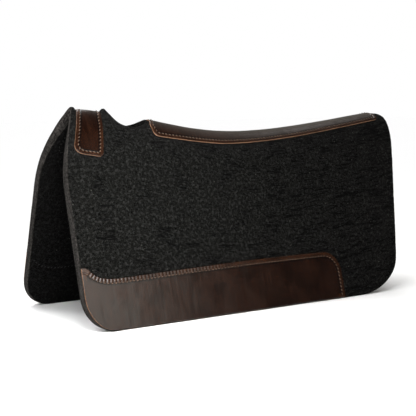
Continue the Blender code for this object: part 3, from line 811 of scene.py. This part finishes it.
def pressed(depths, x, s):
    """The felt gives under a leather and swells a little beside it."""
    change = np.zeros_like(depths[0])
    for d in depths:
        under = smooth_step(-d, *PRESS_EDGE)
        change += -PRESS * under + PUFF * bump_at(d, PUFF_OFFSET, PUFF_WIDTH) * (1 - under)
    sunk = smooth_step(-depths[0], *STRAP_SINK_EDGE)
    rises = sum(height * bump_at(x, station, length) * bump_at(s, 0.0, reach)
                for height, station, length, reach in CREST_RISES)
    return change - strap_sink(s) * sunk + rises * (1 - sunk)


def stitch_pull(side, x, s):
    """The grooves that the stitches draw into the inner face."""
    to_spine_rows = distance(np.stack([x, -side * s], -1), STRAP_SEWN, STRIP_SEWN)
    to_flap_row = distance(np.stack([x, ground_length(x) - s], -1), PATCH_SEWN)
    d = np.minimum(to_spine_rows, to_flap_row)
    return (-GROOVE_DEPTH * bump_at(d, 0, GROOVE_WIDTH)
            - SHOULDER_DEPTH * bump_at(d, 0, SHOULDER_WIDTH))


def felt_columns():
    """Stations of the felt's columns: close together at the ends, round the hole and where sewn."""
    before = graded(FRONT, (FRONT + 0.02, FELT_EDGE_SPACING), (HOLE_FRONT - 0.006, FELT_FRONT_SPACING),
                    (HOLE_FRONT, FELT_HOLE_SPACING))
    across = HOLE_CENTRE_X - HOLE_LENGTH / 2 * np.cos(np.linspace(0, pi, 27))
    behind = graded(HOLE_REAR, (HOLE_REAR + 0.006, FELT_HOLE_SPACING), (PATCH_REAR - 0.013, FELT_SPACING),
                    (PATCH_REAR + 0.003, FELT_SEWN_SPACING), (REAR - 0.02, FELT_SPACING),
                    (REAR, FELT_EDGE_SPACING))
    return np.concatenate([before, across[1:-1], behind])


def felt_rows():
    """Rows as (part of the crown, drop down the flap): the first is 1 from the flex line on."""
    crown = [(part, 0.0) for part in np.concatenate([ramp(7)[:-1] * 0.10, np.linspace(0.10, 1, 28)])]
    sewn = FLAP_DROP - PATCH_TOP + PATCH_STITCH_INSET
    down = graded(0.0, (sewn - 0.012, FELT_SPACING), (sewn + 0.015, FELT_SEWN_SPACING),
                  (FLAP_DROP - FELT_TURN, FELT_SPACING))
    turn = FLAP_DROP - FELT_TURN * (1 - np.sin(pi / 2 * ramp(27)))
    flap = [(1.0, drop) for drop in np.concatenate([down[1:], turn[1:]])]
    return np.array(crown + flap)


def felt_places(depth, inset):
    """Stations and arc lengths of one half's grid on the sheet that lies depth inside."""
    nominal, rows = felt_columns(), felt_rows()
    part, drop = rows[:, :1], rows[:, 1:]
    x = np.broadcast_to(nominal, (len(rows), len(nominal)))
    up = FLAP_DROP - drop
    front_share = np.clip(1 - (nominal - FRONT) / FRONT_SHIFT, 0, 1)
    rear_share = np.clip(1 - (REAR - nominal) / REAR_SHIFT, 0, 1)
    front_turn = corner_run(up, FRONT_CORNER[1] - inset, FRONT_CORNER[0] - inset)
    rear_turn = corner_run(up, REAR_CORNER[1] - inset, REAR_CORNER[0] - inset)
    for _ in range(6):
        s = part * flex_length(x) + drop
        start = front_edge(s) - FRONT + inset + front_turn
        end = REAR - rear_edge(s) + inset + rear_turn
        x = nominal + start * front_share - end * rear_share
    reach = np.clip(1 - ((x[0] - HOLE_CENTRE_X) / (HOLE_LENGTH / 2)) ** 2, 0, None)
    hole = HOLE_WIDTH / 2 * np.sqrt(reach)
    top = clear_length(x[0], depth, hole) + inset * np.where(hole > 0, 1.0, 0.5)
    top = np.broadcast_to(top, x.shape)
    length = flex_length(x)
    level = depth * DOWN[0] / DOWN[1] - inset
    s = top + (length - top) * part + drop + level * drop / FLAP_DROP
    return x, s


def felt_half(name, side):
    """One half: a thick sheet with soft cut edges, from the seam on the spine to the ground. The
    outer face's relief fades through the thickness, and the inner face adds its own."""
    layers, flats = [], []
    plan = rounded_layers(THICKNESS, FELT_EDGE_RADIUS, 3, 4)
    for k, (depth, inset) in enumerate(plan):
        x, s = felt_places(depth, inset)
        flat = np.stack([x, -side * s, np.full_like(x, depth)], -1)
        out = np.full_like(x, -depth)
        if k == 0:
            relief = felt_relief(flat, True) + pressed(leather_depths(side, x, s), x, s)
        elif k == len(plan) - 1:
            out -= felt_relief(flat, False) * 0.8 + stitch_pull(side, x, s)
        out += relief * (1 - depth / THICKNESS)
        points = place(side, x, s, out)
        points[..., 1] += side * SEAM_GAP / 2
        points[..., 2] = np.maximum(points[..., 2], 0.0)
        layers.append(points)
        flats.append(flat)
    piece = block(name, layers, flats, [FELT])
    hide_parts(name + "_crown", name + "_flap")
    return piece


# ---- leather

def rim_pulls(outline, holes):
    """Lines of points from each stitch hole out to the edge, where the thread pulls the rim down."""
    ends = np.array([dot[:2] for dot, _, _ in nearest(holes, outline)])
    return [holes + (ends - holes) * share for share in np.linspace(0.3, 1, 5)]


def leather_marks(to_edge, to_stitches, to_pulls, inset, gathered):
    """1 on the rim's ridges between two stitches, where a highlight is painted, less in the dips that the
    stitches pull down, and down to -1 in the groove inside them, where shade is painted.
    """
    beside = smooth_step(-to_stitches, -RIM_WIDTH, -RIM_WIDTH * 0.7)
    rim = smooth_step(inset - to_edge, *RIM_FADE)
    rim *= 1 - PULL_SHADE * bump_at(to_pulls, 0, PULL_SHADE_WIDTH) * gathered
    return (rim - bump_at(to_edge, inset + GROOVE_SHADE_OFFSET, GROOVE_SHADE_OFFSET)) * beside


def leather_relief(flat, to_edge, to_stitches, to_pulls, gathered, seed):
    """How far the upper face stands out from its even level."""
    channel = CHANNEL_DEPTH * bump_at(to_stitches, 0, CHANNEL_WIDTH)
    roll = ROLL * bump_at(to_edge, ROLL_INSET, ROLL_WIDTH) * bump_at(to_stitches, 0, CHANNEL_REACH)
    puckers = PUCKER * gathered * bump_at(to_pulls, 0, PUCKER_WIDTH)
    waves = 0.00028 * noise_field(flat, 24.0, seed) + 0.00010 * noise_field(flat, 75.0, seed + 1)
    return roll - channel - puckers + waves


def sewn_finish(flat, outline, sewn, holes, seed, gather):
    """Relief and marks of a leather's upper face. gather is how strongly the stitches pucker it."""
    places = flat[..., :2]
    to_edge, to_stitches = distance(places, outline), distance(places, sewn)
    to_pulls = distance(places, *rim_pulls(outline, holes))
    inset = np.median(distance(sewn, outline))
    gathered = gather * (1 - PUCKER_EASE * smooth_step(places[..., 0], *PUCKERED))
    return (leather_relief(flat, to_edge, to_stitches, to_pulls, gathered, seed),
            leather_marks(to_edge, to_stitches, to_pulls, inset, gathered))


def leather_piece(name, grid, to_side, outline, sewn, holes, seed, gather):
    """grid(inset) gives the flat places, and to_side turns them and a height into points."""
    layers, flats = [], []
    for k, (depth, inset) in enumerate(rounded_layers(LEATHER_THICKNESS, LEATHER_EDGE_RADIUS, 2, 2)):
        x, v = grid(inset)
        flat = np.stack([x, v, np.full_like(x, -depth)], -1)
        if k == 0:
            relief, marks = sewn_finish(flat, outline, sewn, holes, seed, gather)
        share = max(0.0, 1 - depth / LEATHER_THICKNESS)
        layers.append(to_side(x, v, LEATHER_TOP - depth + relief * share))
        flats.append(flat)
    piece = block(name, layers, flats, [LEATHER, RAW_EDGE], 2, marks)
    return piece


def strap_grid(inset):
    rows = rimmed(2 * STRAP_DROP, SEWN_SPACING)
    columns = rimmed(STRAP_REAR - STRAP_FRONT, STRAP_SPACING)
    s = (STRAP_DROP - inset) * (1 - 2 * rows)[:, None] * np.ones_like(columns)
    front, rear = strap_ends(s, inset)
    x = front + (rear - front) * columns
    return x, s * slant(x)


def strip_grid(inset):
    rows = 1 - 2 * rimmed(2 * strip_width(0.0), LEATHER_SPACING)
    columns = rimmed(STRIP_REAR - STRIP_FRONT, SEWN_SPACING)
    front, rear = strip_ends(rows[:, None], inset)
    x = front + (rear - front) * columns
    return x, rows[:, None] * (strip_width(x) - inset)


def patch_grid(inset):
    rows = rimmed(PATCH_TOP - PATCH_BOTTOM, LEATHER_SPACING)[:, None]
    columns = rimmed(PATCH_REAR - PATCH_FRONT, SEWN_SPACING)
    low = PATCH_BOTTOM + inset
    up = low + rows * (PATCH_TOP - inset - low) * np.ones_like(columns)
    for _ in range(8):
        front, rear = patch_ends(np.minimum(up, PATCH_TOP - inset), inset)
        x = front + (rear - front) * columns
        up = low + rows * (patch_top(x, inset) - low)
    return x, up


def over_spine(x, s, out):
    return place(LEFT, x, s, out)


def strap_over(x, s, out):
    return over_spine(x, s, out - strap_sink(s))


def on_flap(side):
    def to_side(x, up, out):
        points = place(side, x, ground_length(x) - up, out)
        points[..., 1] += side * SEAM_GAP / 2
        return points
    return to_side


# ---- stitches

def tubes(name, centres, ups, radii, sides, twist, flats, material):
    """Short laid threads, each a closed tube: centres and ups are (count, rings, 3)."""
    count, rings = centres.shape[:2]
    tangent = np.gradient(centres, axis=1)
    tangent /= np.linalg.norm(tangent, axis=2, keepdims=True)
    across = np.cross(tangent, ups)
    across /= np.linalg.norm(across, axis=2, keepdims=True)
    lift = np.cross(across, tangent)
    angle = np.linspace(0, 2 * pi, sides, endpoint=False)
    turn = twist * ramp(rings)[:, None]
    reach = radii[:, :, None] * (1 + STRAND_DEPTH * np.cos(STRANDS * (angle + turn)))
    ring_points = (centres[:, :, None] + (across[:, :, None] * np.cos(angle)[:, None]
                   + lift[:, :, None] * np.sin(angle)[:, None]) * reach[..., None])
    base = np.arange(rings * sides).reshape(rings, sides)
    walls = np.stack([base[:-1], np.roll(base[:-1], -1, 1), np.roll(base[1:], -1, 1), base[1:]], -1)
    walls = walls.reshape(-1, 4).tolist()
    caps = [base[0][::-1].tolist(), base[-1].tolist()]
    faces = []
    for k in range(count):
        shift = k * rings * sides
        faces += [[index + shift for index in face] for face in walls + caps]
    mesh = closed_mesh(name, ring_points.reshape(-1, 3), faces, np.repeat(flats, sides, axis=1))
    return new_object(name, mesh, [material])


def stitch_row(name, holes, to_side, level, radius, arch, material, sides=9):
    """Single stitches, each out beside one hole and back in beside the next, thinner at its ends.
    level is the surface's height, and arch how far a stitch rises over it."""
    start, end = holes
    along = end - start
    length = np.linalg.norm(along, axis=1)[:, None]
    along = along / length
    across = np.stack([-along[:, 1], along[:, 0]], 1)
    t = ramp(STITCH_RINGS)[None, :, None]
    reach = np.minimum(STITCH_LENGTH, length)
    path = (start + along * (length - reach) / 2)[:, None] + (along * reach)[:, None] * t
    path = path + across[:, None] * (t - 0.5) * 2 * STITCH_SLANT
    bow = np.sin(pi * ramp(STITCH_RINGS)) ** 0.6
    height = level + arch * (bow * 1.7 - 0.9)
    radii = np.broadcast_to(radius * (0.6 + 0.4 * bow), path.shape[:2])
    centres = to_side(path[..., 0], path[..., 1], height)
    ups = to_side(path[..., 0], path[..., 1], height + 0.001 * np.sign(arch)) - centres
    flats = np.concatenate([path, np.broadcast_to(height[:, None], (*path.shape[:2], 1))], -1)
    piece = tubes(name, centres, ups, radii, sides, TWIST, flats, material)
    return piece


def pairs(holes):
    """The two holes of each stitch."""
    return holes[:-1], holes[1:]


def beside_crease(holes):
    """The stitches that show inside: not those where the two halves meet."""
    limit = clear_length(holes[:, 0], THICKNESS, 0.0) + 0.004
    kept = np.abs(holes[:, 1]) > limit
    kept = kept[:-1] & kept[1:]
    return holes[:-1][kept], holes[1:][kept]


def seam(name, start, end):
    """Zigzag that joins the two halves, over the crease inside."""
    depth = THICKNESS + SEAM_HEIGHT
    count = int((end - start) / SEAM_PITCH) * 2 + 1
    x = np.linspace(start, end, count)
    s = clear_length(x, depth, 0.0) + SEAM_REACH
    turns = place(LEFT, x, s * np.where(np.arange(count) % 2, 1, -1), -depth)
    t = ramp(STITCH_RINGS)[None, :, None]
    centres = turns[:-1, None] * (1 - t) + turns[1:, None] * t
    bow = np.sin(pi * ramp(STITCH_RINGS))
    centres[..., 2] += SEAM_BITE * (1 - bow) ** 3
    radii = np.full(centres.shape[:2], BOBBIN_RADIUS)
    ups = np.broadcast_to(np.array((0.0, 0.0, -1.0)), centres.shape)
    piece = tubes(name + "_stitches", centres, ups, radii, 8, SEAM_TWIST, centres, DARK_THREAD)
    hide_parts(name + "_thread")
    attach(piece, "crown")


# ---- assembly

# Heights of the top and the bobbin stitches, out from the felt's face
ABOVE = LEATHER_TOP - CHANNEL_DEPTH + THREAD_RADIUS * 0.35
BELOW = -(THICKNESS - GROOVE_DEPTH * 0.55)


def build_felt():
    for word, side in SIDES:
        half = felt_half(word + "_felt", side)
        hinge = Vector(JOINTS[word + "_flap"]["pos_m"])
        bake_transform(half)


def sewn_leather(name, grid, outline, sewn, closed, seed, gather, to_side, body):
    """A leather with its top and bobbin stitches, in place of its three CAD nodes."""
    holes = resample(sewn, STITCH_PITCH, closed)
    piece = leather_piece(name + "_panel", grid, to_side, outline, sewn, holes, seed, gather)
    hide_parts(name)
    top = stitch_row(name + "_stitches", pairs(holes), to_side, ABOVE, THREAD_RADIUS,
                     STITCH_ARCH, TAN_THREAD)
    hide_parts(name + "_thread")
    inside = beside_crease(holes) if closed else pairs(holes)
    bobbin = stitch_row(name + "_bobbin_stitches", inside, on_felt(to_side), BELOW, BOBBIN_RADIUS,
                        BOBBIN_ARCH, DARK_THREAD, sides=7)
    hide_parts(name + "_bobbin_thread")
    for made in (piece, top, bobbin):
        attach(made, body)


def on_felt(to_side):
    """The inner face does not follow the strap into the crest."""
    return over_spine if to_side is strap_over else to_side


def build_leathers():
    sewn_leather("withers_strap", strap_grid, STRAP_OUTLINE, STRAP_SEWN, True, 11, FLAT_GATHER,
                 strap_over, "crown")
    sewn_leather("spine_strip", strip_grid, STRIP_OUTLINE, STRIP_SEWN, True, 13, FLAT_GATHER,
                 over_spine, "crown")
    for word, side in SIDES:
        sewn_leather(word + "_wear_leather", patch_grid, PATCH_OUTLINE, PATCH_SEWN, False, 17, 1.0,
                     on_flap(side), word + "_flap")
    seam("front_seam", STRAP_FRONT - SEAM_PAST_STRAP, STRAP_REAR + SEAM_PAST_STRAP)
    seam("rear_seam", HOLE_REAR + SEAM_PAST_HOLE, STRIP_REAR - STITCH_INSET - SEAM_PAST_STRAP)


# ---- floor, light and camera

PLAIN, WARM, OLIVE = (1.0, 1.0, 1.0), (1.0, 0.96, 0.87), (1.0, 0.94, 0.80)
FLOOR_SIZE = 24
FLOOR_LEVEL = -0.0002
ROOM_GLOW = 0.04              # the world's strength on the object; the camera sees it as 1
SUN_STRENGTH = 3.5
SUN_SPREAD = radians(60)
SUN_TILT = radians(-26)
# name, power, width and height, place, aim and colour
SOFT_LIGHTS = (
    ("softbox", 4.7, (0.64, 0.90), (0.22, -1.60, 0.76), (-0.25, -0.13, 0.10), WARM),
    ("softbox_fall", 0.3, (0.30, 0.90), (0.72, -1.60, 0.80), (-0.20, -0.13, 0.10), WARM),
    ("overhead_box", 4.4, (2.6, 2.6), (0.9, 1.35, 1.75), (0.0, 0.0, 0.30), OLIVE),
    ("front_key", 5.2, (0.34, 0.34), (-0.44, -0.52, 0.42), (-0.32, -0.1, 0.19), PLAIN),
    ("front_rim", 4.6, (0.4, 0.4), (-1.00, -0.30, 0.70), (-0.39, -0.12, 0.25), PLAIN),
)
CAMERA_LENS = 86.39
CAMERA_AIM = (-0.0526, 0.0, 0.18234)
CAMERA_BACK = (-0.5547, -0.8245, 0.1123)    # from the aim towards the camera
CAMERA_DISTANCE = 1.9828


def build_stage():
    bpy.ops.mesh.primitive_plane_add(size=FLOOR_SIZE, location=(0, 0, FLOOR_LEVEL))
    floor = bpy.context.active_object
    floor.name = "floor"
    material, tree, shader = shader_tree("pale_floor", Roughness=0.9, Specular_IOR_Level=0.1)
    shade = noise_texture(tree, wired(tree, "TexCoord", "Object"), 3.0)
    tree.links.new(mix(tree, shade, (0.97, 0.97, 0.97), (0.98, 0.98, 0.98)), shader.inputs["Base Color"])
    floor.data.materials.append(material)


def soft_light(name, energy, size, place_at, aim, colour):
    lamp = bpy.data.lights.new(name, "AREA")
    lamp.shape = "RECTANGLE"
    lamp.size, lamp.size_y = size
    lamp.energy, lamp.color = energy, colour
    piece = new_object(name, lamp)
    piece.location = place_at
    piece.rotation_euler = (Vector(aim) - Vector(place_at)).to_track_quat("-Z", "Y").to_euler()
    piece.visible_camera = False


def build_light():
    world = bpy.data.worlds.new("studio")
    bpy.context.scene.world = world
    world.use_nodes = True
    tree = world.node_tree
    tree.nodes.clear()
    seen = wired(tree, "LightPath", "Is Camera Ray")
    dim, bright = [wired(tree, "Background", "Background", {
        "Color": (1, 1, 1, 1), "Strength": strength}) for strength in (ROOM_GLOW, 1.0)]
    glow = wired(tree, "MixShader", "Shader", {0: seen, 1: dim, 2: bright})
    tree.links.new(glow, tree.nodes.new("ShaderNodeOutputWorld").inputs["Surface"])
    sun = bpy.data.lights.new("overhead", "SUN")
    sun.energy, sun.angle = SUN_STRENGTH, SUN_SPREAD
    new_object("overhead", sun).rotation_euler = (SUN_TILT, 0, 0)
    for lamp in SOFT_LIGHTS:
        soft_light(*lamp)


def build_camera():
    camera = bpy.data.cameras.new("camera")
    camera.lens, camera.sensor_width = CAMERA_LENS, 36.0
    piece = new_object("camera", camera)
    back = Vector(CAMERA_BACK).normalized()
    piece.location = Vector(CAMERA_AIM) + back * CAMERA_DISTANCE
    piece.rotation_euler = back.to_track_quat("Z", "Y").to_euler()
    bpy.context.scene.camera = piece


bpy.context.scene.view_settings.view_transform = "Standard"
build_felt()
build_leathers()
build_stage()
build_light()
build_camera()
